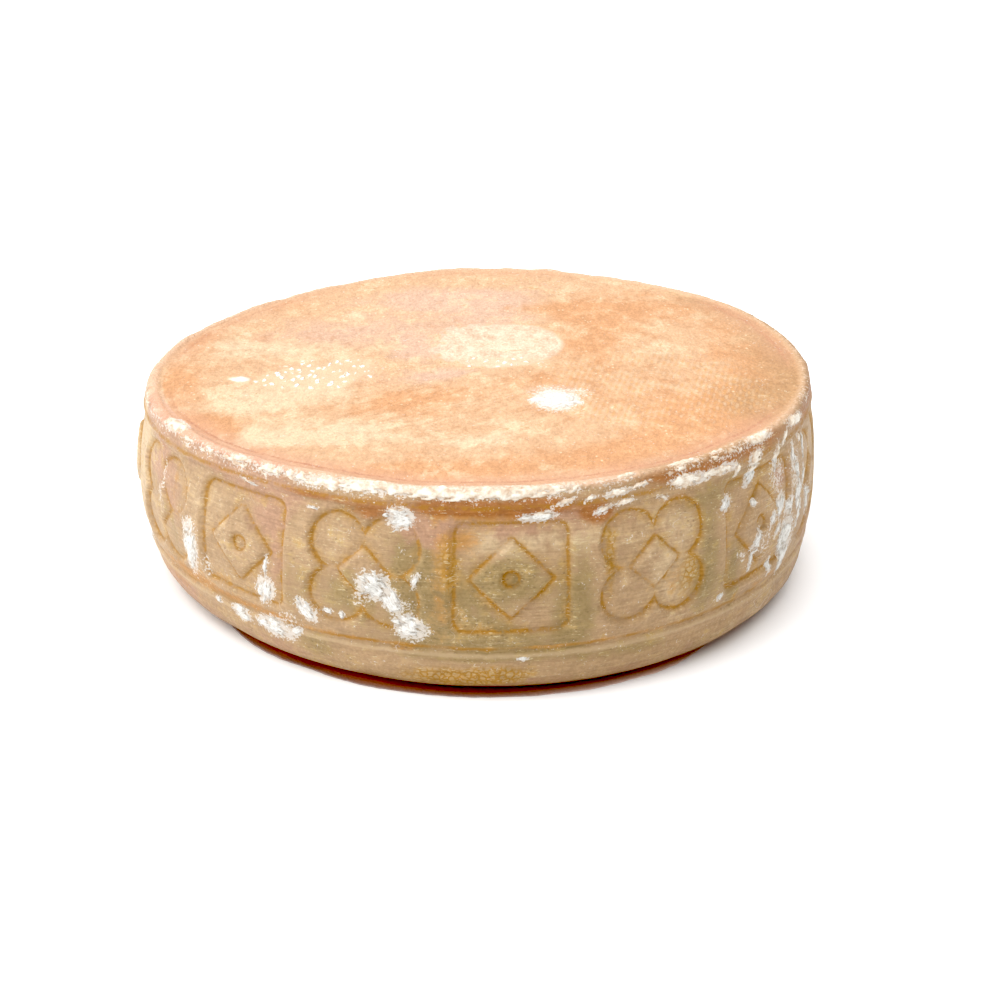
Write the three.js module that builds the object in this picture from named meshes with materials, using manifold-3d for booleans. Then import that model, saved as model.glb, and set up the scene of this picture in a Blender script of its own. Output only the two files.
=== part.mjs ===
// A whole wheel of washed-rind ewe's-milk cheese, lying on its flat base.
// Its side bulges and carries a pressed frieze between a ledge at the foot and a rim at the top.
// Millimetres, +Z up, origin in the middle of the base. The front of the wheel faces -Y.

import * as THREE from "three";
import { mergeVertices } from "three/addons/utils/BufferGeometryUtils.js";
import Module from "manifold-3d";

// Driving dimensions of the wheel.
const WIDEST_RADIUS = 131.8; // at the middle of the bulging side
const HEIGHT = 76.2; // at the axis
const HEIGHT_GAIN = 3.4; // how much taller the wheel is at +X than at the axis, and lower at -X
const BELLY_HEIGHT = 40.6; // where the side is widest
const BELLY_DRAW_LOW = 2.2; // powers of the curves that draw the side in below and above the belly
const BELLY_DRAW_HIGH = 1.8;
const FOOT_RADIUS = 112; // of the flat that the wheel rests on
const FOOT_ROUND = 13.9; // height of the rounding under the side
const FOOT_TOP_RADIUS = 127.4; // where that rounding ends
const RIM_RADIUS = 125.5; // of the side just under the top edge
const RIM_ROUND = 3; // radius of the top edge

// The bands that the hoop of the mould leaves round the side.
const LEDGE_HEIGHT = 17.8; // top of the plain band at the foot
const BAND_TOP = 69.2; // underside of the rim
const BAND_STEP = 0.9; // how far the frieze lies behind the ledge and the rim
const STEP_RISE = 1.2; // height over which that step runs
const RIM_STAND = 0.35; // how far the rim stands out beyond the plain side
const RIM_BEAD = 0.5; // how far the rim stands above the top face
const BEAD_WIDTH = 4.5; // across the top of the rim

// The pressed frieze: square panels and quatrefoils in turn, with a lozenge left standing in each.
const FRIEZE_COUNT = 16; // figures round the wheel
const FRIEZE_START = -84.5; // degrees, the bearing of one panel's middle
const FRIEZE_MIDDLE = 46; // height of the figures' middles
const FRIEZE_DEPTH = 1.3;
const FRIEZE_RADIUS = 128.5; // at which the figures' widths are measured
const PANEL_SIZE = 40; // height and width of a panel
const PANEL_ROUND = 4.5; // radius of its corners
const PANEL_LOZENGE = 13.5; // half the height and width of the lozenge in a panel
const DOT_RADIUS = 3.4; // of the round dimple in that lozenge
const LOBE_PLACE = 9.5; // the quatrefoil's four circles, from its middle along both axes
const LOBE_RADIUS = 11;
const LOBE_LOZENGE = 8.5; // half the height and width of the lozenge in a quatrefoil

// How the wheel departs from a true round, as lobes of a given height at a given bearing.
const TOP_LOBES = [
  { count: 3, height: 1.7, bearing: -47 },
  { count: 1, height: 1, bearing: 20 },
];
const FOOT_LOBES = [
  { count: 2, height: 1.7, bearing: -45 },
  { count: 3, height: 2.3, bearing: 30 },
  { count: 1, height: 0.4, bearing: 0 },
];
// Slow waves left by turning and pressing: bearing waves round the side, height waves up it.
const SIDE_WAVES = [
  { round: 1, up: 1, height: 1.2, bearing: 180 },
  { round: 5, up: 1, height: 0.35, bearing: 20 },
  { round: 9, up: 2, height: 0.22, bearing: 75 },
];
const TOP_WAVES = [
  { length: 150, height: 0.45, bearing: 25 },
  { length: 88, height: 0.25, bearing: 110 },
];
const RIM_WAVES = [
  { count: 11, height: 0.25, bearing: 4 },
  { count: 17, height: 0.2, bearing: 11 },
];

// Fineness of the solids.
const COLUMNS = 5 * FRIEZE_COUNT;
const FOOT_STEPS = 4;
const BAND_STEPS = 4;
const RIM_STEPS = 3;
const FOOT_RING = 0.55; // share of the flat's radius
const TOP_RINGS = [1, 0.8, 0.5]; // shares of the top face's radius
const LOBE_SEGMENTS = 7;
const CORNER_SEGMENTS = 3;
const CUTTER_INSIDE = 112; // radii between which the cutters reach
const CUTTER_OUTSIDE = 142;

const rad = THREE.MathUtils.degToRad;
const wasm = await Module();
wasm.setup();

// Radius of the plain side at height z, before the bands, on a wheel of even height.
function plainSide(z) {
  if (z < FOOT_ROUND) {
    const down = 1 - z / FOOT_ROUND;
    return FOOT_RADIUS + (FOOT_TOP_RADIUS - FOOT_RADIUS) * Math.sqrt(1 - down * down);
  }
  if (z < BELLY_HEIGHT) {
    const down = (BELLY_HEIGHT - z) / (BELLY_HEIGHT - FOOT_ROUND);
    return WIDEST_RADIUS - (WIDEST_RADIUS - FOOT_TOP_RADIUS) * Math.pow(down, BELLY_DRAW_LOW);
  }
  const up = (z - BELLY_HEIGHT) / (HEIGHT - RIM_ROUND - BELLY_HEIGHT);
  return WIDEST_RADIUS - (WIDEST_RADIUS - RIM_RADIUS) * Math.pow(Math.min(up, 1), BELLY_DRAW_HIGH);
}

// Points (radius, height) up the outside of the wheel, from the axis underneath to the axis on top.
function wheelProfile(pressed) {
  const points = [new THREE.Vector2(0, 0), new THREE.Vector2(FOOT_RADIUS * FOOT_RING, 0)];
  for (let i = 0; i <= FOOT_STEPS; i++) {
    const z = FOOT_ROUND * (1 - Math.cos((i / FOOT_STEPS) * Math.PI * 0.5));
    points.push(new THREE.Vector2(plainSide(z), z));
  }
  points.push(new THREE.Vector2(plainSide(LEDGE_HEIGHT), LEDGE_HEIGHT));
  const low = LEDGE_HEIGHT + STEP_RISE;
  const high = BAND_TOP - STEP_RISE;
  for (let i = 0; i <= BAND_STEPS; i++) {
    const z = low + ((high - low) * i) / BAND_STEPS;
    points.push(new THREE.Vector2(plainSide(z) - BAND_STEP - pressed, z));
  }
  points.push(new THREE.Vector2(plainSide(BAND_TOP) + RIM_STAND, BAND_TOP));
  const edge = new THREE.Vector2(RIM_RADIUS + RIM_STAND - RIM_ROUND, HEIGHT + RIM_BEAD - RIM_ROUND);
  for (let i = 0; i <= RIM_STEPS; i++) {
    const turn = (i / RIM_STEPS) * Math.PI * 0.5;
    points.push(new THREE.Vector2(edge.x + RIM_ROUND * Math.cos(turn), edge.y + RIM_ROUND * Math.sin(turn)));
  }
  const face = RIM_RADIUS - BEAD_WIDTH;
  for (const share of TOP_RINGS) points.push(new THREE.Vector2(face * share, HEIGHT));
  points.push(new THREE.Vector2(0, HEIGHT));
  return points;
}

const lobes = (list, turn) =>
  list.reduce((sum, l) => sum + l.height * Math.cos(l.count * (turn - rad(l.bearing))), 0);

// Moves a point of the true round wheel to where it lies on the uneven one.
function settle(p) {
  const radius = Math.hypot(p.x, p.y);
  const turn = Math.atan2(p.y, p.x);
  const level = p.z / HEIGHT;
  const reach = radius / WIDEST_RADIUS;
  let grown = reach * (lobes(FOOT_LOBES, turn) * (1 - level) + lobes(TOP_LOBES, turn) * level);
  const side = THREE.MathUtils.smoothstep(radius, FOOT_RADIUS, FOOT_TOP_RADIUS);
  for (const w of SIDE_WAVES)
    grown += side * w.height * Math.cos(w.round * (turn - rad(w.bearing))) * Math.sin(w.up * Math.PI * level);
  const rim = THREE.MathUtils.smoothstep(p.z, BAND_TOP - STEP_RISE, HEIGHT) * side;
  grown += rim * lobes(RIM_WAVES, turn);
  const share = radius > 0 ? (radius + grown) / radius : 1;
  p.x *= share;
  p.y *= share;
  let lift = (HEIGHT_GAIN * p.x) / WIDEST_RADIUS;
  for (const w of TOP_WAVES) {
    const along = p.x * Math.cos(rad(w.bearing)) + p.y * Math.sin(rad(w.bearing));
    lift += w.height * Math.sin((along / w.length) * Math.PI * 2);
  }
  p.z += lift * level;
  return p;
}

function moveVertices(geometry, move) {
  const at = geometry.getAttribute("position");
  const p = new THREE.Vector3();
  for (let i = 0; i < at.count; i++) {
    move(p.fromBufferAttribute(at, i));
    at.setXYZ(i, p.x, p.y, p.z);
  }
  return geometry;
}

// A closed geometry as a manifold-3d solid.
function solid(geometry) {
  geometry.deleteAttribute("normal");
  geometry.deleteAttribute("uv");
  const merged = mergeVertices(geometry, 1e-3);
  return new wasm.Manifold(new wasm.Mesh({
    numProp: 3,
    vertProperties: merged.getAttribute("position").array,
    triVerts: new Uint32Array(merged.index.array),
  }));
}

// The wheel's body, with its frieze band set back by pressed.
function body(pressed) {
  const lathe = new THREE.LatheGeometry(wheelProfile(pressed), COLUMNS);
  lathe.rotateX(Math.PI / 2);
  return solid(moveVertices(lathe, settle));
}

// A flat figure, drawn with x along the side and y upwards, as a cutter wrapped round the wheel.
function cutter(shape, bearing) {
  const depth = CUTTER_OUTSIDE - CUTTER_INSIDE;
  const flat = new THREE.ExtrudeGeometry(shape, { depth, bevelEnabled: false, curveSegments: LOBE_SEGMENTS });
  return solid(moveVertices(flat, (p) => {
    const turn = rad(bearing) + p.x / FRIEZE_RADIUS;
    const radius = CUTTER_INSIDE + p.z;
    p.set(radius * Math.cos(turn), radius * Math.sin(turn), FRIEZE_MIDDLE + p.y);
  }));
}

function lozenge(size) {
  return new THREE.Path().moveTo(size, 0).lineTo(0, size).lineTo(-size, 0).lineTo(0, -size);
}

function panel() {
  const side = PANEL_SIZE / 2;
  const middle = side - PANEL_ROUND;
  const shape = new THREE.Shape();
  for (let i = 0; i < 4; i++) {
    const quarter = (i * Math.PI) / 2;
    for (let k = 0; k <= CORNER_SEGMENTS; k++) {
      const turn = quarter + (k / CORNER_SEGMENTS) * (Math.PI / 2);
      const corner = new THREE.Vector2(middle, middle).rotateAround(new THREE.Vector2(), quarter);
      const x = corner.x + PANEL_ROUND * Math.cos(turn);
      const y = corner.y + PANEL_ROUND * Math.sin(turn);
      if (i + k === 0) shape.moveTo(x, y);
      else shape.lineTo(x, y);
    }
  }
  shape.holes.push(lozenge(PANEL_LOZENGE));
  return shape;
}

function quatrefoil() {
  const shape = new THREE.Shape();
  const waist = Math.sqrt(LOBE_RADIUS * LOBE_RADIUS - LOBE_PLACE * LOBE_PLACE);
  const from = Math.atan2(-LOBE_PLACE, waist);
  const to = Math.atan2(waist, -LOBE_PLACE);
  for (let i = 0; i < 4; i++) {
    const quarter = (i * Math.PI) / 2;
    const middle = new THREE.Vector2(LOBE_PLACE, LOBE_PLACE).rotateAround(new THREE.Vector2(), quarter);
    shape.absarc(middle.x, middle.y, LOBE_RADIUS, from + quarter, to + quarter, false);
  }
  shape.holes.push(lozenge(LOBE_LOZENGE));
  return shape;
}

function dot() {
  return new THREE.Shape().absarc(0, 0, DOT_RADIUS, 0, Math.PI * 2, false);
}

// The figures of the frieze all round the wheel, as cutters.
function friezeCutters() {
  const cutters = [];
  for (let i = 0; i < FRIEZE_COUNT; i++) {
    const bearing = FRIEZE_START + (i * 360) / FRIEZE_COUNT;
    if (i % 2 === 0) cutters.push(cutter(panel(), bearing), cutter(dot(), bearing));
    else cutters.push(cutter(quatrefoil(), bearing));
  }
  return cutters;
}

// The wheel: the whole body less the figures, down to the body that is set back to their depth.
function wheel() {
  const pressedAway = friezeCutters().map((c) => c.subtract(body(FRIEZE_DEPTH)));
  const cut = wasm.Manifold.difference(body(0), wasm.Manifold.union(pressedAway));
  const { vertProperties, triVerts } = cut.getMesh();
  const geometry = new THREE.BufferGeometry();
  geometry.setAttribute("position", new THREE.BufferAttribute(vertProperties, 3));
  geometry.setIndex(new THREE.BufferAttribute(triVerts, 1));
  geometry.computeBoundingBox();
  const middle = geometry.boundingBox.getCenter(new THREE.Vector3());
  geometry.translate(-middle.x, -middle.y, 0);
  geometry.computeVertexNormals();
  return geometry;
}

const rind = new THREE.MeshStandardMaterial({ color: 0xd9a878, roughness: 0.6, metalness: 0 });
const cheeseWheel = new THREE.Mesh(wheel(), rind);
cheeseWheel.name = "cheese_wheel";

const part = new THREE.Group();
part.add(cheeseWheel);
export default part;
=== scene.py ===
import math

import bpy
import numpy as np
from mathutils import Matrix, Vector


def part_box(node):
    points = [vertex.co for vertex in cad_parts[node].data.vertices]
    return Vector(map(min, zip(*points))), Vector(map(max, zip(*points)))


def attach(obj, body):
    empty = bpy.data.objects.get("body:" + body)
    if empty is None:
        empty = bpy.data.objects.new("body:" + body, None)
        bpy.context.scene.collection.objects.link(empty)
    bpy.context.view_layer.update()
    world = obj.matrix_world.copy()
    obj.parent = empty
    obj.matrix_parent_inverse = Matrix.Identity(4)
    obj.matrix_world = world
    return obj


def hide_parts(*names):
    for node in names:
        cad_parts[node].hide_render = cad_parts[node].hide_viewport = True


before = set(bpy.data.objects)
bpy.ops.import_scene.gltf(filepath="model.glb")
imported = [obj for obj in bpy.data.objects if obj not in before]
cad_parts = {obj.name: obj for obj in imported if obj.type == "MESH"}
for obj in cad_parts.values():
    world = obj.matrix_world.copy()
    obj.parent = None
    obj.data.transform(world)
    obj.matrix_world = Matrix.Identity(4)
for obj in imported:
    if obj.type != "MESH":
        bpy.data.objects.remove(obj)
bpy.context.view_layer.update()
print("frame loaded")

mm = 0.001

# The wheel's form in millimetres and degrees, as its solid has it. The front faces -Y.
wheelForm = {
    "widestRadius": 131.8,
    "height": 76.2,
    "heightGain": 3.4,       # taller at +X, lower at -X
    "bellyHeight": 40.6,
    "bellyDrawLow": 2.2,
    "bellyDrawHigh": 1.8,
    "footRadius": 112.0,
    "footRound": 13.9,
    "footTopRadius": 127.4,
    "rimRadius": 125.5,
    "rimRound": 3.0,
    "rimStand": 0.35,
    "rimBead": 0.5,
    "beadWidth": 4.5,
    "ledgeHeight": 17.8,
    "bandTop": 69.2,
    "bandStep": 0.9,
    "stepRise": 1.2,
    "footLobes": [(2, 1.7, -45), (3, 2.3, 30), (1, 0.4, 0)],   # count, height, bearing
    "topLobes": [(3, 1.7, -47), (1, 1.0, 20)],
    "sideWaves": [(1, 1, 1.2, 180), (5, 1, 0.35, 20), (9, 2, 0.22, 75)],   # round, up, height, bearing
    "rimWaves": [(11, 0.25, 4), (17, 0.2, 11)],
    "topWaves": [(150, 0.45, 25), (88, 0.25, 110)],              # length, height, bearing
}

# The pressed frieze round the side.
frieze = {
    "count": 16,
    "start": -84.5,
    "middle": 46.0,
    "radius": 128.5,
    "depth": 1.3,
    "edge": 1.7,             # width over which a figure's wall runs down
    "groove": 0.35,          # deeper line at the foot of that wall
    "lip": 0.2,              # swelling just outside a figure
    "panelSize": 40.0,
    "panelRound": 4.5,
    "panelLozenge": 13.5,
    "dotRadius": 3.4,
    "lobePlace": 9.5,
    "lobeRadius": 11.0,
    "lobeLozenge": 8.5,
}

# How finely the rind is meshed.
rindMesh = {
    "columns": 768,
    "sideStep": 0.92,
    "topStep": 1.8,
    "underRings": [(108, 24), (96, 48), (72, 96), (42, 192), (14, 384)],   # reach inside the foot, columns
    "fineFace": 8,           # how far over the rim the fine rings run
    "coarsest": 118,         # radius at which the top face still has all its columns
    "leastColumns": 24,
    "poleGap": 2.5,
}

# The rind's own unevenness in millimetres: seed, size of the lumps, height.
rindRelief = {
    "lumps": [(11, 23, 0.42), (12, 9.5, 0.2)],
    "crumbs": [(13, 4.2, 0.09, 3), (14, 1.9, 0.05, 2)],            # and octaves
    "lineDepth": 0.3,
    "innerLineDepth": 0.2,
    "rimLump": (23, 6, 0.28),
    "rimCrumb": (24, 2.6, 0.22),
    "notched": [(-165, 14), (-44, 16)],                            # bearing, reach in degrees
    "notchPitch": 3.3,
    "notchDepth": 0.24,
}


def ease(low, high, x):
    t = np.clip((x - low) / (high - low), 0, 1)
    return t * t * (3 - 2 * t)


def softGrain(seed, points, cell):
    # smooth noise from -1 to 1 with lumps as large as cell
    size = 64
    lattice = np.random.default_rng(seed).uniform(-1, 1, (size, size, size))
    at = points / cell + 500.0
    base = np.floor(at).astype(int)
    part = ease(0, 1, at - base)
    total = np.zeros(points.shape[:-1])
    for corner in np.ndindex(2, 2, 2):
        share = np.prod(np.where(corner, part, 1 - part), axis=-1)
        i, j, k = np.moveaxis((base + corner) % size, -1, 0)
        total += share * lattice[i, j, k]
    return total


def crumbs(seed, points, cell, octaves=3):
    return sum(softGrain(seed + k, points, cell / 2**k) / 1.7**k for k in range(octaves)) / 1.6


def plainSide(z):
    form = wheelForm
    foot = 1 - np.clip(z / form["footRound"], 0, 1)
    low = np.clip((form["bellyHeight"] - z) / (form["bellyHeight"] - form["footRound"]), 0, 1)
    shoulder = form["height"] - form["rimRound"]
    high = np.clip((z - form["bellyHeight"]) / (shoulder - form["bellyHeight"]), 0, 1)
    widest = form["widestRadius"]
    radius = widest - (widest - form["footTopRadius"]) * low ** form["bellyDrawLow"]
    radius = radius - (widest - form["rimRadius"]) * high ** form["bellyDrawHigh"]
    drawn = (form["footTopRadius"] - form["footRadius"]) * (1 - np.sqrt(1 - foot * foot))
    return radius - drawn


def profileLine():
    # the wheel's outline from the axis underneath to the axis on top, as radius, height and place along it
    form = wheelForm
    turn = np.linspace(0, math.pi / 2, 60)
    footZ = form["footRound"] * (1 - np.cos(turn))
    sideZ = np.arange(form["footRound"], form["bandTop"] + 0.01, 0.2)
    rimR = form["rimRadius"] + form["rimStand"] - form["rimRound"]
    rimZ = form["height"] + form["rimBead"] - form["rimRound"]
    neckZ = np.linspace(form["bandTop"], rimZ, 20)
    glintBeads = np.linspace(0, 1, 20)
    face = form["rimRadius"] - form["beadWidth"]
    underBand = ease(form["bandTop"] - form["stepRise"], form["bandTop"], sideZ)
    step = ease(form["ledgeHeight"], form["ledgeHeight"] + form["stepRise"], sideZ) * (1 - underBand)
    neck = np.linspace(plainSide(form["bandTop"]) + form["rimStand"], rimR + form["rimRound"], 20)
    radius = np.concatenate([
        np.linspace(0, form["footRadius"], 80),
        plainSide(footZ),
        plainSide(sideZ) - form["bandStep"] * step + form["rimStand"] * underBand,
        neck,
        rimR + form["rimRound"] * np.cos(turn),
        rimR + (face - rimR) * glintBeads,
        np.linspace(face, 0, 120),
    ])
    z = np.concatenate([
        np.zeros(80),
        footZ,
        sideZ,
        neckZ,
        rimZ + form["rimRound"] * np.sin(turn),
        form["height"] + form["rimBead"] * (1 - ease(0, 1, glintBeads)),
        np.full(120, form["height"]),
    ])
    gap = np.hypot(np.diff(radius), np.diff(z))
    kept = np.concatenate([[True], gap > 1e-6])
    radius, z = radius[kept], z[kept]
    place = np.concatenate([[0], np.cumsum(np.hypot(np.diff(radius), np.diff(z)))])
    even = np.arange(0, place[-1], 0.1)
    radius, z = np.interp(even, place, radius), np.interp(even, place, z)
    slopes = [np.pad(slope, 4, mode="edge") for slope in (np.gradient(z), -np.gradient(radius))]
    outR, outZ = (np.convolve(slope, np.ones(9) / 9, "valid") for slope in slopes)
    length = np.hypot(outR, outZ)
    return {"s": even, "r": radius, "z": z, "outR": outR / length, "outZ": outZ / length}


profile = profileLine()
outerR = np.where(profile["r"] < 120, -999, profile["r"])
crest = profile["s"][np.argmax(outerR * 0.7 + profile["z"] * 3)]   # the place of the rim's top edge
wholeLength = profile["s"][-1]


def along(name, s):
    return np.interp(s, profile["s"], profile[name])


def placeUp(z):
    # the place along the outline where the side reaches height z
    below = profile["s"] < crest
    return np.interp(z, profile["z"][below], profile["s"][below])


def degreesFrom(turn, bearing):
    return np.abs((np.degrees(turn) - bearing + 180) % 360 - 180)


def strongest(turn, spans, low, high):
    # of several spans of bearing, half reach and strength, each fading from low to high of its reach
    strength = np.zeros(turn.shape)
    for bearing, reach, most in spans:
        faded = ease(reach * low, reach * high, degreesFrom(turn, bearing))
        strength = np.maximum(strength, most * (1 - faded))
    return strength


def dip(away, width):
    # 1 where away is 0, falling off over width
    return np.exp(-((away / width) ** 2))


def leaned(across, up, lean):
    # the same place along and across a direction that leans by so many degrees
    c, s = math.cos(math.radians(lean)), math.sin(math.radians(lean))
    return across * c + up * s, up * c - across * s


def roundAxis(turn, r, z):
    return np.stack([r * np.cos(turn), r * np.sin(turn), z + 0 * turn], axis=-1)


def nominal(turn, s):
    # points of the plain outline
    return roundAxis(turn, along("r", s), along("z", s))


def lobes(group, turn):
    return sum(height * np.cos(count * (turn - math.radians(bearing))) for count, height, bearing in group)


def settle(points):
    # from the true round wheel to the uneven one, in millimetres
    form = wheelForm
    x, y, z = points[..., 0], points[..., 1], points[..., 2]
    radius = np.hypot(x, y)
    turn = np.arctan2(y, x)
    level = z / form["height"]
    grown = lobes(form["footLobes"], turn) * (1 - level) + lobes(form["topLobes"], turn) * level
    grown = grown * radius / form["widestRadius"]
    side = ease(form["footRadius"], form["footTopRadius"], radius)
    for around, up, height, bearing in form["sideWaves"]:
        wave = np.cos(around * (turn - math.radians(bearing))) * np.sin(up * math.pi * level)
        grown = grown + side * height * wave
    rim = ease(form["bandTop"] - form["stepRise"], form["height"], z) * side
    grown = grown + rim * lobes(form["rimWaves"], turn)
    share = (radius + grown) / np.maximum(radius, 1e-9)
    x, y = x * share, y * share
    lift = form["heightGain"] * x / form["widestRadius"]
    for length, height, bearing in form["topWaves"]:
        run, _ = leaned(x, y, bearing)
        lift = lift + height * np.sin(run / length * 2 * math.pi)
    return np.stack([x, y, z + lift * level], axis=-1)


def figureEdge(turn, z):
    # distance in millimetres to the nearest edge of a pressed figure, below zero inside it
    pitch = 2 * math.pi / frieze["count"]
    from0 = (turn - math.radians(frieze["start"])) / pitch
    number = np.round(from0)
    u = np.abs(from0 - number) * pitch * frieze["radius"]
    v = np.abs(z - frieze["middle"])
    inner = frieze["panelSize"] / 2 - frieze["panelRound"]
    du, dv = u - inner, v - inner
    panel = np.hypot(np.maximum(du, 0), np.maximum(dv, 0)) + np.minimum(np.maximum(du, dv), 0)
    panel = panel - frieze["panelRound"]
    panel = np.maximum(panel, (frieze["panelLozenge"] - u - v) / math.sqrt(2))
    panel = np.minimum(panel, np.hypot(u, v) - frieze["dotRadius"])
    lobed = np.hypot(u - frieze["lobePlace"], v - frieze["lobePlace"]) - frieze["lobeRadius"]
    lobed = np.maximum(lobed, (frieze["lobeLozenge"] - u - v) / math.sqrt(2))
    return np.clip(np.where(number % 2 == 0, panel, lobed), -12, 12)


def relief(turn, s):
    # how far the rind stands out from the plain outline, in millimetres
    points = nominal(turn, s)
    z = along("z", s)
    edge = figureEdge(turn, z) + 0.5 * crumbs(3, points, 7, 2)
    worn = 0.8 + 0.3 * softGrain(5, points, 24)
    inFrieze = ease(18.5, 21, z) * (1 - ease(68, 69.5, z))
    half = frieze["edge"] / 2
    figures = -frieze["depth"] * (1 - ease(-half, half, edge)) * worn
    figures = figures - frieze["groove"] * dip(edge + 1.0, 0.8) * worn
    figures = figures + frieze["lip"] * dip(edge - 1.6, 1.0)
    out = figures * inFrieze
    # lumps and dents of every size, none under the flat foot
    uneven = rindRelief
    offFloor = ease(0.2, 6, z)
    for seed, size, height in uneven["lumps"]:
        out = out + offFloor * height * softGrain(seed, points, size)
    for seed, size, height, octaves in uneven["crumbs"]:
        out = out + offFloor * height * crumbs(seed, points, size, octaves)
    # the lines under the rim, above the ledge and just inside the rim
    toRim = s - crest
    waver = softGrain(21, points, 12)
    out = out - uneven["lineDepth"] * dip(z - 70.6 - 0.5 * waver, 0.8) * (s < crest)
    out = out - uneven["lineDepth"] * dip(z - 19.6 - 0.6 * waver, 0.9)
    out = out - uneven["innerLineDepth"] * dip(toRim - 6.2 - 0.4 * waver, 1.2)
    # a crumbling rim, notched in places
    seed, size, height = uneven["rimLump"]
    crumbling = height * softGrain(seed, points, size)
    seed, size, height = uneven["rimCrumb"]
    crumbling = crumbling + height * crumbs(seed, points, size)
    notched = sum(dip(np.degrees(turn) - bearing, reach) for bearing, reach in uneven["notched"])
    run = turn * wheelForm["rimRadius"] / uneven["notchPitch"]
    notches = uneven["notchDepth"] * np.sin(run * 2 * math.pi + 1.5 * waver)
    return out + dip(toRim, 3.4) * (crumbling + notched * notches)


def skin(turn, s, lift=0.0):
    # points of the wheel's surface, lifted off it along its plain outline's normal
    out = relief(turn, s) + lift
    r = along("r", s) + along("outR", s) * out
    z = np.maximum(along("z", s) + along("outZ", s) * out, 0)
    return settle(roundAxis(turn, r, z))


def addObject(name, data):
    made = bpy.data.objects.new(name, data)
    bpy.context.scene.collection.objects.link(made)
    return made


def makeMesh(name, points, groups):
    # each group is an array of faces with the same number of corners
    mesh = bpy.data.meshes.new(name)
    mesh.vertices.add(len(points))
    mesh.vertices.foreach_set("co", (points * mm).astype(np.float32).ravel())
    corners = np.concatenate([group.ravel() for group in groups])
    sizes = np.concatenate([np.full(len(group), group.shape[1]) for group in groups])
    mesh.loops.add(len(corners))
    mesh.loops.foreach_set("vertex_index", corners.astype(np.int32))
    mesh.polygons.add(len(sizes))
    starts = np.concatenate([[0], np.cumsum(sizes)[:-1]])
    mesh.polygons.foreach_set("loop_start", starts.astype(np.int32))
    mesh.polygons.foreach_set("use_smooth", np.ones(len(sizes), bool))
    mesh.update(calc_edges=True)
    mesh.validate()
    return addObject(name, mesh)


def setAttributes(piece, **numbers):
    for name, values in numbers.items():
        layer = piece.data.attributes.new(name, "FLOAT", "POINT")
        layer.data.foreach_set("value", values.astype(np.float32).ravel())


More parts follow.
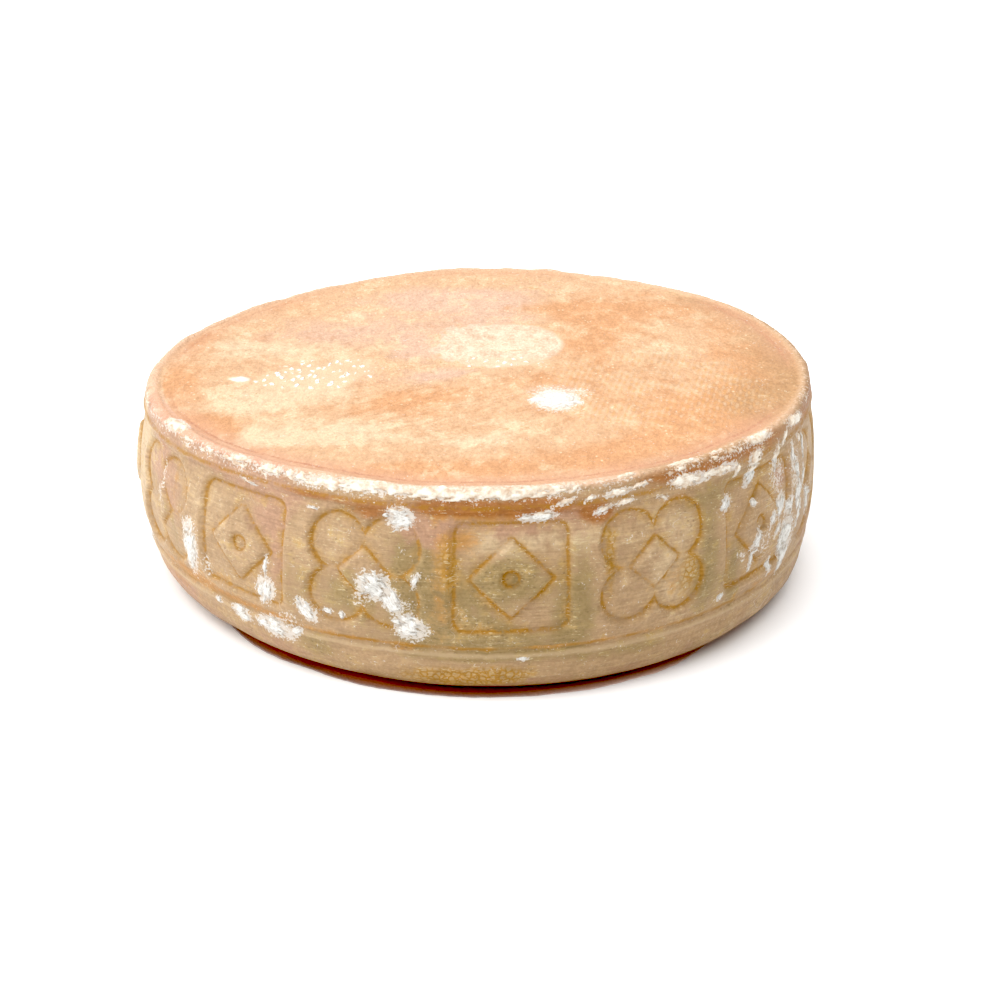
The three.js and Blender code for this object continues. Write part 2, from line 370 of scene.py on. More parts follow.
# Where the rind's colours gather. On the side: bearing, height, half length, half width, strength.
# On top: x, y, half length, half width, lean, strength.
colourZones = {
    "side": {
        "pale": [
            # the first two, on the left limb, are partly paler rind and partly painted light falling from
            # the left
            (-168, 44, 18, 30, 1.1), (-166, 60, 16, 12, 0.8), (-85, 59, 18, 5, 1.4),
            (-140, 56, 16, 8, 0.4), (-40, 9, 22, 5, 0.4), (-74, 58, 9, 7, 0.5), (-58, 40, 12, 22, 0.5),
            (-134, 50, 14, 14, 0.35), (-63, 46, 16, 17, 0.5), (-120, 66, 12, 3, 0.2),
            (-112, 52, 12, 8, 0.35), (-98, 14, 14, 3, 0.3), (-22, 40, 14, 26, 0.3),
        ],
        "rose": [
            (-153, 62, 9, 9, 1.0), (-159, 57, 14, 5, 0.6), (-148, 50, 6, 13, 0.6), (-124, 60, 8, 10, 0.9),
            (-124, 67, 22, 4, 0.8), (-122, 44, 4, 16, 0.6), (-97, 62, 10, 8, 1.0), (-85, 64, 15, 4, 0.9),
            (-78, 68, 14, 3, 0.7), (-99, 54, 4, 12, 0.6), (-74, 60, 5, 8, 0.5), (-60, 56, 8, 8, 0.4),
            (-66, 63, 10, 4, 0.5), (-34, 58, 8, 6, 0.9), (-125, 8, 26, 4, 0.7), (-152, 12, 26, 8, 0.8),
            (-60, 6, 26, 4, 0.45), (-38, 11, 26, 6, 0.3), (-158, 75, 22, 7, 1.0), (-132, 75, 30, 7, 1.2),
            (-85, 5, 22, 3, 0.7), (-14, 20, 20, 12, 0.7),
        ],
        "olive": [
            (-108, 37, 16, 11, 0.9), (-100, 47, 8, 8, 0.6), (-85, 45, 15, 9, 1.2), (-93, 37, 9, 9, 0.9),
            (-53, 32, 7, 12, 0.8), (-101, 57, 6, 8, 0.65), (-88, 27, 10, 5, 1.1), (-98, 52, 5, 7, 0.7),
            (-76, 30, 7, 12, 0.8), (-74, 38, 6, 20, 0.8), (-52, 48, 5, 16, 0.7), (-52, 63, 14, 4, 0.6),
            (-95, 25, 14, 4, 0.8), (-88, 17, 26, 2.6, 0.9), (-115, 17.5, 14, 2.4, 0.5),
            (-66, 15, 18, 3.6, 0.7), (-46, 33, 6, 17, 0.9), (-44, 66, 10, 4, 0.6), (-30, 69, 16, 4, 0.5),
            (-116, 69, 8, 2, 0.5), (-98, 33, 8, 16, 0.9), (-84, 23, 17, 4, 0.9), (-118, 33, 5, 10, 0.4),
            (-115, 13, 10, 4, 0.65), (-105, 21, 8, 4, 0.4), (-121, 40, 5, 8, 0.4), (-108, 67, 8, 3, 0.6),
            (-148, 36, 6, 26, 0.55), (-132, 36, 12, 6, 0.35),
        ],
        "orange": [
            (-95, 41, 4.5, 19, 0.6), (-92, 59, 8, 4.5, 0.95), (-87, 68, 24, 3, 1.0),
            (-70, 44, 3, 18, 0.5), (-58, 40, 4, 8, 0.5), (-62, 38, 8, 6, 0.35), (-130, 22, 28, 2, 1.0),
            (-146, 23, 22, 3, 0.8), (-72, 20.4, 40, 0.9, 0.8), (-108, 20.2, 26, 1.1, 0.8),
            (-150, 15, 20, 5, 0.6), (-92, 8, 20, 4, 0.55), (-135, 28, 14, 2, 0.5),
            (-147, 58, 2.2, 12, 0.5), (-144, 54, 6, 10, 0.45), (-36, 22, 22, 1.2, 0.6),
        ],
        "crackle": [
            (-93, 8.4, 22, 4.6, 1.1), (-85, 10, 8, 4, 0.6), (-94, 50, 4, 14, 0.8),
            (-69.5, 50, 3.4, 16, 0.8), (-56, 38, 6, 10, 0.8), (-61, 52, 5, 5, 0.5), (-144, 40, 3, 8, 0.4),
        ],
        # brown under the rim and along its right side, partly the rind's own brown and partly painted shade
        "brown": [
            (-93, 70.4, 20, 3.2, 1.3), (-80.5, 70, 15, 3.4, 1.2), (-71, 66, 6, 3.6, 1.2),
            (-106, 67, 9, 3.4, 0.9), (-116, 70, 15, 1.6, 1.0), (-136, 70, 12, 1.4, 0.6),
            (4, 75, 84, 8, 1.3), (-53, 75, 30, 4.5, 1.2), (-72, 66.5, 5, 1.6, 0.6),
            (-58, 66, 7, 1.4, 0.5), (-100, 18.5, 12, 1.4, 0.4), (-45, 62, 6, 2.0, 0.4),
        ],
    },
    "top": {
        "pale": [
            (-62, -72, 34, 14, 12, 1.0), (-66, -30, 26, 16, 0, 0.45), (-85, -40, 15, 18, 60, 0.7),
            (-60, -16, 20, 22, 0, 0.65), (-72, 23, 42, 16, 0, 0.7), (-14, -79, 40, 11, 0, 0.45),
            (-96, 25, 13, 22, 0, 0.35), (-28, 50, 26, 14, 0, 0.25), (8, -62, 13, 6, 20, 0.45),
            (2, -80, 16, 7, 30, 0.5), (70, 12, 9, 12, 0, 0.55), (88, 62, 16, 12, -40, 0.4),
            (60, 100, 22, 7, -25, 0.4), (38, -34, 7, 8, 0, 0.5), (-52, 66, 4.5, 5, 0, 1.0),
            (-94, 61, 3, 4, 0, 0.6), (6, -13, 9, 6, -20, 0.55),
        ],
        "rose": [
            (-52, 45, 44, 26, 0, 0.75), (-25, 85, 30, 18, 0, 0.8), (5, 75, 22, 20, 0, 0.8),
            (-13, -9, 17, 8, 20, 0.9), (12, 52, 20, 10, 0, 0.5), (-24, 18, 12, 20, 0, 0.8),
            (27, -29, 13, 8, 0, 0.8), (84, 8, 10, 22, 0, 0.3), (30, 100, 18, 12, 0, 0.4),
            (-62, -8, 30, 10, 0, 0.45),
        ],
        "orange": [
            (-113, -15, 10, 28, 0, 1.0), (-92, -55, 9, 9, 0, 0.8), (-25, -38, 25, 12, 15, 1.0),
            (20, -20, 22, 10, 20, 0.55), (46, 30, 20, 38, -10, 0.8), (38, 62, 14, 20, 0, 0.5),
            (60, -45, 28, 25, 0, 0.45), (101, 5, 17, 46, 5, 0.75), (88, -42, 14, 24, -30, 0.6),
            (42, -95, 42, 12, 8, 0.55), (-20, -108, 36, 8, 0, 0.5), (-84, 84, 12, 42, 45, 0.4),
            (-109, 45, 8, 25, -15, 0.5), (-90, -70, 28, 7, -52, 0.9), (68, 70, 34, 22, -30, 0.6),
            (70, -76, 34, 15, 42, 1.0), (-5, -108, 36, 11, 2, 0.6), (24, 66, 24, 8, 0, 0.5),
            (-8, -53, 20, 8, 0, 0.4),
        ],
        "olive": [
            (86, 84, 32, 5, -45, 0.7), (113, 28, 7, 30, 10, 0.5), (-62, -36, 5, 5, 0, 0.5),
            (-8, -63, 6, 3, 0, 0.4), (62, 14, 5, 7, 0, 0.3), (30, 78, 12, 6, 0, 0.3),
        ],
        "crackle": [],
        # darker towards the right edge of the top: painted shade
        "brown": [
            (128, 8, 27, 62, 0, 1.3), (104, -50, 20, 28, 20, 1.0), (98, 74, 18, 34, 42, 0.8),
            (66, -98, 26, 9, 33, 0.6),
        ],
    },
    "backZones": 9,         # how many of each colour on the side turned away
}

# White mould, in patches of bearing (x on top), height (y), half length, half width and lean.
mould = {
    "cell": 0.42,             # how finely the crust is meshed
    "lift": 0.36,
    "sunk": 0.3,              # how deep a patch's outline lies in the rind
    "lowest": 10.0,           # height above which the crust is meshed
    "side": [
        (-101.5, 66, 4.6, 3.7, 0), (-142.2, 36.2, 10, 4.6, 84), (-124.4, 31.2, 5.2, 3.8, 80),
        (-124.2, 39.6, 5, 0.9, 88), (-130.8, 16.6, 4.4, 2.9, -3), (-136.4, 17.6, 2, 1.1, 0),
        (-123, 16.4, 7.6, 3.6, -5), (-118.8, 17.6, 3, 1.4, 20), (-116.4, 28, 4.6, 2.6, -48),
        (-112.9, 29, 1.8, 1.1, 0), (-110.5, 28.4, 1, 1.6, 0), (-105, 41.6, 5.6, 4.7, -30),
        (-102.4, 36.4, 5.2, 3.2, -52), (-99.6, 27, 5.6, 4.2, -15), (-98.7, 45, 3.4, 1.3, 75),
        (-80.2, 67, 6.4, 1.7, 5), (-76.2, 71.4, 3.4, 1, 14), (-70.4, 67, 3.6, 1.3, 25),
        (-67.2, 68.6, 3.6, 1.1, 12), (-68.2, 72, 4.6, 1.2, 4), (-64.5, 73.2, 4, 0.8, 10),
        (-72.4, 71.6, 2.4, 0.8, 20), (-55.4, 71, 8, 2, -3), (-48.8, 71, 8, 1.5, -2),
        (-60.4, 67.4, 2.4, 0.7, -20), (-48.2, 58.4, 2.9, 2.6, 60), (-41.6, 64.8, 4.4, 2.2, 40),
        (-40.6, 70.4, 4.2, 2, 15), (-45.4, 68.6, 2.6, 0.9, 60), (-41.4, 54.6, 1.4, 1.2, 80),
        (-48.8, 24.6, 1.7, 1.3, 20), (-82.7, 16.3, 2, 0.8, 0), (-34.2, 66.6, 4.8, 1.7, 82),
        (-31.6, 71.4, 3.6, 1.1, 40), (-28.4, 62.6, 4.6, 1.4, 80), (-26.8, 56.4, 4.6, 1.8, -70),
        (-21.4, 62, 4.6, 1.5, 80), (-24.6, 66, 3, 1.1, -60), (-26.6, 48.6, 6, 2.6, 80),
        (-22.4, 50, 5, 1.6, 70), (-33.4, 47.8, 4.6, 3.2, 70), (-30.4, 45.4, 4, 2.2, 60),
        (-36.4, 45.4, 2.6, 1.6, 60), (-40.8, 40.6, 4, 2, 55), (-41.2, 34, 4.6, 1.3, 80),
        (-30.8, 34.6, 7, 3.8, 80), (-30, 26.6, 6, 3.6, 70), (-35.2, 26.2, 3, 1.9, 80),
        (-33.6, 39, 3, 1.6, 60), (-24.4, 38, 6, 2.2, 80), (-19, 38, 7, 2.6, -60), (-26, 74, 4, 1.3, 0),
        (-128.2, 68.6, 4.6, 0.45, -14), (-115.8, 65.4, 2.6, 0.45, -6),
    ],
    "faint": [
        (-99.8, 35, 3.4, 3.6, 0), (-44, 36.4, 3.4, 3, 0), (-151.6, 55, 2, 10, 0), (-138, 31, 3, 6, 0),
        (-34, 60, 6, 8, 0), (-27, 56, 9, 10, 0), (-29, 34, 9, 9, 0), (-38, 38, 6, 6, 0),
        (-120, 22, 6, 4, 0), (-107, 37, 4.5, 5, 0),
    ],
    "rim": [            # bearing, half reach in degrees, strength
        (-94, 20, 0.96), (-111, 12, 0.78), (-126, 9, 0.6), (-139, 8, 0.5), (-160, 12, 0.42),
        (-56, 4, 0.5), (-45, 7, 0.5), (-68, 3.5, 0.42), (-14, 7, 0.4), (25, 12, 0.35), (70, 14, 0.3),
        (150, 14, 0.4),
    ],
    "crest": [            # bearing, place over the rim, half length, half width, lean
        (-150.5, 0.2, 6.6, 3.2, 0), (-56, 0.4, 5.6, 1.7, 0), (-38.8, -1.2, 7.0, 2.3, 0),
        (-26.4, -3.6, 8, 1.9, -8), (-131, -1.6, 5, 1.6, 0), (-124, -2.4, 5, 1.8, 0),
        (-49, 0.2, 3, 0.9, 0), (-66, 0, 3.4, 1.0, 0), (20, -3.4, 6, 2, 0), (52, -3.4, 6, 2, 0),
        (117, -3.6, 8, 2.2, 0), (176, -3.2, 5, 1.6, 0),
    ],
    "backPatches": 30,
    "top": [(28.0, -40.2, 7.7, 10.2, 0), (35, -43.4, 3.0, 1.3, -10), (21.2, -40, 3.0, 3.2, 0)],
    "topFaint": [(37, -33, 6, 6, 30), (24, -28, 7, 4, 20), (28, -41, 11, 11, 0)],
    "topGrid": (8, -60, 40),  # corner and reach of the square that the spots on top lie in
}


def addBackPatches():
    # the side turned away from the front has colours and mould of the same kinds
    draw = np.random.default_rng(71)
    for kind in ("pale", "rose", "olive", "orange"):
        for _ in range(colourZones["backZones"]):
            ranges = [(-5, 190), (10, 66), (6, 22), (4, 12), (0.5, 1)]
            colourZones["side"][kind].append([draw.uniform(*limits) for limits in ranges])
    for _ in range(mould["backPatches"]):
        length = draw.uniform(1.5, 7)
        height = draw.choice([draw.uniform(22, 64), 17.2, 68])
        bearing = draw.uniform(-10, 200)
        width = length * draw.uniform(0.35, 0.8)
        mould["side"].append((bearing, height, length, width, draw.uniform(-90, 90)))
        mould["faint"].append((bearing + 1.5, height - 1, length * 1.5, length * 1.5, 0))


addBackPatches()


def nearness(across, up, halfLength, halfWidth, lean=0):
    # how many half sizes a point lies from the middle of a leaning ellipse
    lengthwise, crosswise = leaned(across, up, lean)
    return np.hypot(lengthwise / halfLength, crosswise / halfWidth)


def arcFrom(turn, bearing):
    return ((turn - math.radians(bearing) + math.pi) % (2 * math.pi) - math.pi) * frieze["radius"]


def gathered(kind, turn, points):
    # how much of one colour gathers at each point
    x, y, z = np.moveaxis(points, -1, 0)
    onTop = (np.hypot(x, y) < 120) & (z > 60)
    total = np.zeros(turn.shape)
    for bearing, height, *form, strength in colourZones["side"][kind]:
        total += strength * dip(nearness(arcFrom(turn, bearing), z - height, *form), 1) * ~onTop
    for atX, atY, *form, strength in colourZones["top"][kind]:
        total += strength * dip(nearness(x - atX, y - atY, *form), 1) * onTop
    return total


def rimStrength(turn):
    return strongest(turn, mould["rim"], 0.7, 1.3)


def patchField(away, up, patches):
    # 1 in the middle of a patch, 0 on its outline and below zero beyond; away gives the distance from an x
    field = np.full(up.shape, -9.0)
    for x, y, *form in patches:
        field = np.maximum(field, 1 - nearness(away(x), up - y, *form))
    return field


def sideField(turn, z, patches, reach=14):
    # the same round the side, with each point's place along and across the strands of its nearest patch
    field = np.full(turn.shape, -9.0)
    lengthwise, crosswise = turn * frieze["radius"], z + 0.0
    for bearing, height, halfLength, halfWidth, lean in patches:
        near = np.nonzero(np.abs(arcFrom(turn, bearing)) < reach + halfLength)
        across, up = arcFrom(turn[near], bearing), z[near] - height
        found = 1 - nearness(across, up, halfLength, halfWidth, lean)
        closer = found > field[near]
        near = tuple(index[closer] for index in near)
        field[near] = found[closer]
        lengthwise[near], crosswise[near] = leaned(across[closer], up[closer], lean)
    return field, lengthwise, crosswise


def bandDrop(turn):
    # how far below the rim's edge the white band runs
    return 2.2 + 0.9 * ease(98, 120, -np.degrees(turn))


def crestField(turn, toRim):
    return patchField(lambda bearing: arcFrom(turn, bearing), toRim, mould["crest"])


def topField(x, y, patches):
    return patchField(lambda atX: x - atX, y, patches)


def strands(seed, lengthwise, crosswise):
    # fine fibres that run along a patch
    coarse = softGrain(seed, np.stack([lengthwise / 2.6, crosswise / 0.8, 0 * crosswise], axis=-1), 1)
    fine = softGrain(seed + 1, np.stack([lengthwise / 1.3, crosswise / 0.5, 0 * crosswise], axis=-1), 1)
    return 0.7 * coarse + 0.5 * fine


def dusted(turn, s):
    # how thickly mould dust lies on the rind, from 0 to 1
    points = nominal(turn, s)
    toRim = s - crest
    rim = rimStrength(turn) * dip(toRim + bandDrop(turn) - 0.3, 2.9)
    side = np.where(toRim < -2, sideField(turn, points[..., 2], mould["side"])[0], -9)
    side = np.maximum(side, crestField(turn, toRim))
    faint = 0.55 * ease(-0.4, 0.7, sideField(turn, points[..., 2], mould["faint"])[0])
    x, y, _ = np.moveaxis(points, -1, 0)
    top = topField(x, y, mould["top"])
    topFaint = 0.5 * ease(-0.3, 0.6, topField(x, y, mould["topFaint"]))
    near = 0.8 * ease(-0.7, 0.2, np.where(toRim < 5, side, top))
    return np.clip(np.maximum.reduce([rim, near, np.where(s < crest, faint, topFaint)]), 0, 1)


# Where the line inside the rim shows: bearing, half reach in degrees, strength.
innerLine = [
    (-125, 40, 1.0), (-90, 28, 0.9), (-52, 28, 0.9), (20, 24, 0.7), (150, 30, 0.45), (88, 20, 0.35),
]


def ringPlaces():
    # where each ring of the rind lies along the outline, and how many columns it has
    columns = rindMesh["columns"]
    sideStart = wheelForm["footRadius"]
    faceStart = crest + rindMesh["fineFace"]
    rings = [(sideStart - reach, n) for reach, n in rindMesh["underRings"]]
    rings += [(s, columns) for s in np.arange(sideStart, faceStart, rindMesh["sideStep"])]
    s = faceStart + 0.4
    while wholeLength - s > rindMesh["poleGap"]:
        left = wholeLength - s
        n = columns // 2
        while left < rindMesh["coarsest"] * n / columns:
            n //= 2
        n = max(n, rindMesh["leastColumns"])
        rings.append((s, n))
        s += max(rindMesh["topStep"], 0.8 * 2 * math.pi * left / n)
    return rings


def ringCorners(start, count, n):
    # the corners that each of n faces has on a ring of count points
    each = count // n
    return [start + (np.arange(n) * each + k) % count for k in range(each + 1)]


def buildRind():
    rings = ringPlaces()
    counts = [n for _, n in rings]
    first = np.concatenate([[0], np.cumsum(counts)])
    # the rings' points, and last the two on the axis
    turn = np.concatenate([*(np.arange(n) / n * 2 * math.pi - math.pi for n in counts), [0, 0]])
    s = np.concatenate([*(np.full(n, place) for place, n in rings), [0, wholeLength]])
    points = skin(turn, s)
    faces = []
    for low, high, a, b in zip(counts, counts[1:], first, first[1:]):
        n = min(low, high)
        corners = ringCorners(a, low, n) + ringCorners(b, high, n)[::-1]
        faces.append(np.stack(corners, axis=-1))
    total = first[-1]
    for pole, n, start, step in [(total, counts[0], 0, -1), (total + 1, counts[-1], first[-2], 1)]:
        ends = ringCorners(start, n, n)[::step]
        faces.append(np.stack([np.full(n, pole), *ends], axis=-1))
    piece = makeMesh("rind", points, faces)
    z = along("z", s)
    plain = nominal(turn, s)
    _, lengthwise, crosswise = sideField(turn, z, mould["side"] + mould["faint"])
    onSide = s < crest - 6.5
    setAttributes(
        piece,
        figureEdge=figureEdge(turn, z),
        level=z,
        rimPlace=s - crest,
        dust=dusted(turn, s),
        innerLine=strongest(turn, innerLine, 0.5, 1.2),
        lengthwise=np.where(onSide, lengthwise, turn * frieze["radius"]),
        crosswise=np.where(onSide, crosswise, s - crest),
        **{kind: gathered(kind, turn, plain) for kind in colourZones["side"]},
    )
    return piece, points


rind, rindPoints = buildRind()
middle = (rindPoints.min(axis=0) + rindPoints.max(axis=0)) / 2
low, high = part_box("cheese_wheel")
shift = Vector(((low.x + high.x) / 2 - middle[0] * mm, (low.y + high.y) / 2 - middle[1] * mm, 0))


def seat(piece, *stands):
    # from the wheel's axis to the frame's origin, and on its body
    piece.data.transform(Matrix.Translation(shift))
    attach(piece, "root")
    if stands:
        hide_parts(*stands)
    print(piece.name, "built,", sum(len(f.vertices) - 2 for f in piece.data.polygons), "triangles")


seat(rind, "cheese_wheel")


def mouldField(turn, s):
    # above zero where the mould is thick enough to stand off the rind
    points = nominal(turn, s)
    torn = 0.34 * crumbs(31, points, 3.8)
    toRim = s - crest
    onSide, lengthwise, crosswise = sideField(turn, points[..., 2], mould["side"], 6)
    fibres = strands(35, lengthwise, crosswise)
    onSide = onSide + torn + 0.5 * fibres - 0.04
    streaks = strands(33, turn * frieze["radius"], toRim)
    onRim = 1.2 * (rimStrength(turn) - 0.52) - ((toRim + bandDrop(turn)) / 3.5) ** 2
    onRim = onRim + 0.8 * torn + 0.5 * streaks
    onRim = np.maximum(onRim, crestField(turn, toRim) + torn + 0.3 * streaks)
    return np.where(toRim < -2.5, np.maximum(onSide, onRim), onRim), lengthwise, crosswise


def crustCells(field, wraps):
    # the faces of a closed layer over the cells where field is above zero, and the grid points they use
    ahead = np.roll(field, -1, axis=1)
    cells = np.maximum.reduce([field[:-1], field[1:], ahead[:-1], ahead[1:]]) > 0
    if not wraps:
        cells[:, -1] = False
    for _ in range(3):   # cells that would touch at a corner alone get a neighbour
        right = np.roll(cells, -1, axis=1)
        slant = cells[:-1] & right[1:] & ~right[:-1] & ~cells[1:]
        other = right[:-1] & cells[1:] & ~cells[:-1] & ~right[1:]
        cells[1:] |= slant
        cells[:-1] |= other
    rows, columns = np.nonzero(cells)
    n = field.shape[1]

    def corner(i, j):
        return (rows + i) * n + (columns + j) % n

    corners = np.stack([corner(0, 0), corner(0, 1), corner(1, 1), corner(1, 0)], axis=-1)
    used, numbered = np.unique(corners, return_inverse=True)
    numbered = numbered.reshape(corners.shape)
    count = len(used)
    faces = [numbered, numbered[:, ::-1] + count]
    padded = np.pad(cells, 1)
    if wraps:
        padded[:, 0], padded[:, -1] = padded[:, -2], padded[:, 1]
    for step, a, b in [((-1, 0), 0, 1), ((0, 1), 1, 2), ((1, 0), 2, 3), ((0, -1), 3, 0)]:
        outer = ~padded[rows + 1 + step[0], columns + 1 + step[1]]
        p, q = numbered[outer, a], numbered[outer, b]
        faces.append(np.stack([q, p, p + count, q + count], axis=-1))
    return np.concatenate(faces), used


def crustLift(field, points, fibres, most):
    flakes = most * (0.34 * crumbs(41, points, 1.5, 2) + 0.7 * fibres)
    thickness = 0.06 + (most + flakes) * ease(0, 0.5, field)
    return ease(0, 0.15, field) * (mould["sunk"] + thickness) - mould["sunk"]


def crust(field, turns, places, fibres, most, wraps, drawn):
    # a crust over the grid, and for each of its points its lift and its place along and across the strands
    faces, used = crustCells(field, wraps)
    turn, s = turns.ravel()[used], places.ravel()[used]
    most = np.broadcast_to(most, field.shape).ravel()[used]
    lift = crustLift(field.ravel()[used], nominal(turn, s), fibres.ravel()[used], most)
    layer = np.concatenate([skin(turn, s, lift), skin(turn, s, -2.5 * mould["sunk"])])
    lifted = np.concatenate([lift, 0 * lift - 1])
    return layer, faces, np.stack([lifted, *(np.tile(run.ravel()[used], 2) for run in drawn)])


def buildMould():
    cell = mould["cell"]
    turn = np.arange(-math.pi, math.pi - 1e-9, cell / frieze["radius"])
    turn = np.linspace(-math.pi, math.pi, len(turn), endpoint=False)
    turns, places = np.meshgrid(turn, np.arange(placeUp(mould["lowest"]), crest + 7, cell))
    field, lengthwise, crosswise = mouldField(turns, places)
    onRim = ease(-3.5, -1.5, places - crest)
    fibres = strands(37, lengthwise, crosswise) * (1 - 0.75 * onRim)
    drawn = [lengthwise * (1 - onRim) + turns * frieze["radius"] * onRim, crosswise]
    most = mould["lift"] * (1 - 0.5 * onRim)
    layer, faces, values = crust(field, turns, places, fibres, most, True, drawn)
    # the spots on the top face
    startX, startY, reach = mould["topGrid"]
    steps = np.arange(0, reach, cell)
    xs, ys = np.meshgrid(startX + steps, startY + steps)
    places = wholeLength - np.hypot(xs, ys)
    turns = np.arctan2(ys, xs)
    points = nominal(turns, places)
    ragged = 0.17 * crumbs(51, points, 4.2) + 0.03 * crumbs(54, points, 1.3, 2)
    field = topField(xs, ys, mould["top"]) + ragged
    fibres = 0.4 * softGrain(57, points, 1.1)
    most = mould["lift"] * 0.7
    spots, spotFaces, spotValues = crust(field, turns, places, fibres, most, False, [xs, ys])
    points = np.concatenate([layer, spots])
    piece = makeMesh("mould", points, [faces, spotFaces + len(layer)])
    lift, lengthwise, crosswise = np.concatenate([values, spotValues], axis=1)
    x, y, z = points.T
    onRim = (z > wheelForm["bandTop"] - 1.5) * (np.hypot(x, y) > 118)
    setAttributes(piece, lift=lift, lengthwise=lengthwise, crosswise=crosswise, onRim=onRim)
    return piece


mouldCrust = buildMould()
seat(mouldCrust)


# A thin dark sheet on the floor round the foot: painted contact shadow, deep red next to the foot and paler
# towards +X.
contactShadowSheet = {
    "inside": 111.0,
    "least": 4.5,                                 # how far it spreads past the foot
    "spread": [(-94, 44.5, 6.4), (-91, 22, 1.3)],   # bearing, half reach in degrees, how much further
    "front": -99,                                 # bearing from which it turns paler towards +X
    "thickness": 0.35,
    "columns": 720,
    "across": [0, 0.3, 0.5, 0.65, 0.8, 0.92, 1],
}


def shadowSheetSpread(turn):
    spread = np.full(turn.shape, contactShadowSheet["least"])
    for bearing, reach, most in contactShadowSheet["spread"]:
        spread += most * (1 - ease(reach * 0.75, reach * 1.25, degreesFrom(turn, bearing)))
    rim = roundAxis(turn, wheelForm["footRadius"], 0)
    return spread + 0.5 * crumbs(61, rim, 9) + 0.18 * crumbs(64, rim, 1.6, 2)


def buildContactShadowSheet():
    n = contactShadowSheet["columns"]
    turn = np.arange(n) / n * 2 * math.pi
    outside = wheelForm["footRadius"] + shadowSheetSpread(turn)
    upper, under, outward = [], [], []
    for share in contactShadowSheet["across"]:
        r = contactShadowSheet["inside"] + (outside - contactShadowSheet["inside"]) * share
        plain = roundAxis(turn, r, 0)
        thickness = contactShadowSheet["thickness"] * (1 - share**3) * (1 + 0.3 * softGrain(66, plain, 2.5)) + 0.02
        spot = settle(plain)
        upper.append(spot + np.outer(thickness, (0, 0, 1)))
        under.append(spot)
        outward.append((r - wheelForm["footRadius"]) / (outside - wheelForm["footRadius"]))
    rings = np.concatenate(upper + under[::-1])
    i = np.arange(n)
    faces = []
    count = 2 * len(upper)
    for k in range(count):
        a, b = k * n, (k + 1) % count * n
        faces.append(np.stack([a + i, b + i, b + (i + 1) % n, a + (i + 1) % n], axis=-1))
    piece = makeMesh("contactShadowSheet", rings, faces)
    front = contactShadowSheet["front"]
    turnedAway = ease(8, 42, degreesFrom(turn, front)) * (turn > math.radians(front + 360))
    outward = np.concatenate(outward + outward[::-1])
    setAttributes(piece, outward=outward, turnedAway=np.tile(turnedAway, count))
    return piece


# the sheet of painted contact shadow round the foot
lip = buildContactShadowSheet()
seat(lip)


def feed(node, values):
    # links or sets a node's sockets
    for name, value in values.items():
        socket = node.inputs[name]
        if isinstance(value, Flow):
            node.id_data.links.new(value.socket, socket)
        elif socket.type == "RGBA":
            socket.default_value = (*value, 1)
        else:
            socket.default_value = value


def operator(operation, swapped=False):
    def apply(self, other):
        return self.math(operation, *((other, self) if swapped else (self, other)))

    return apply


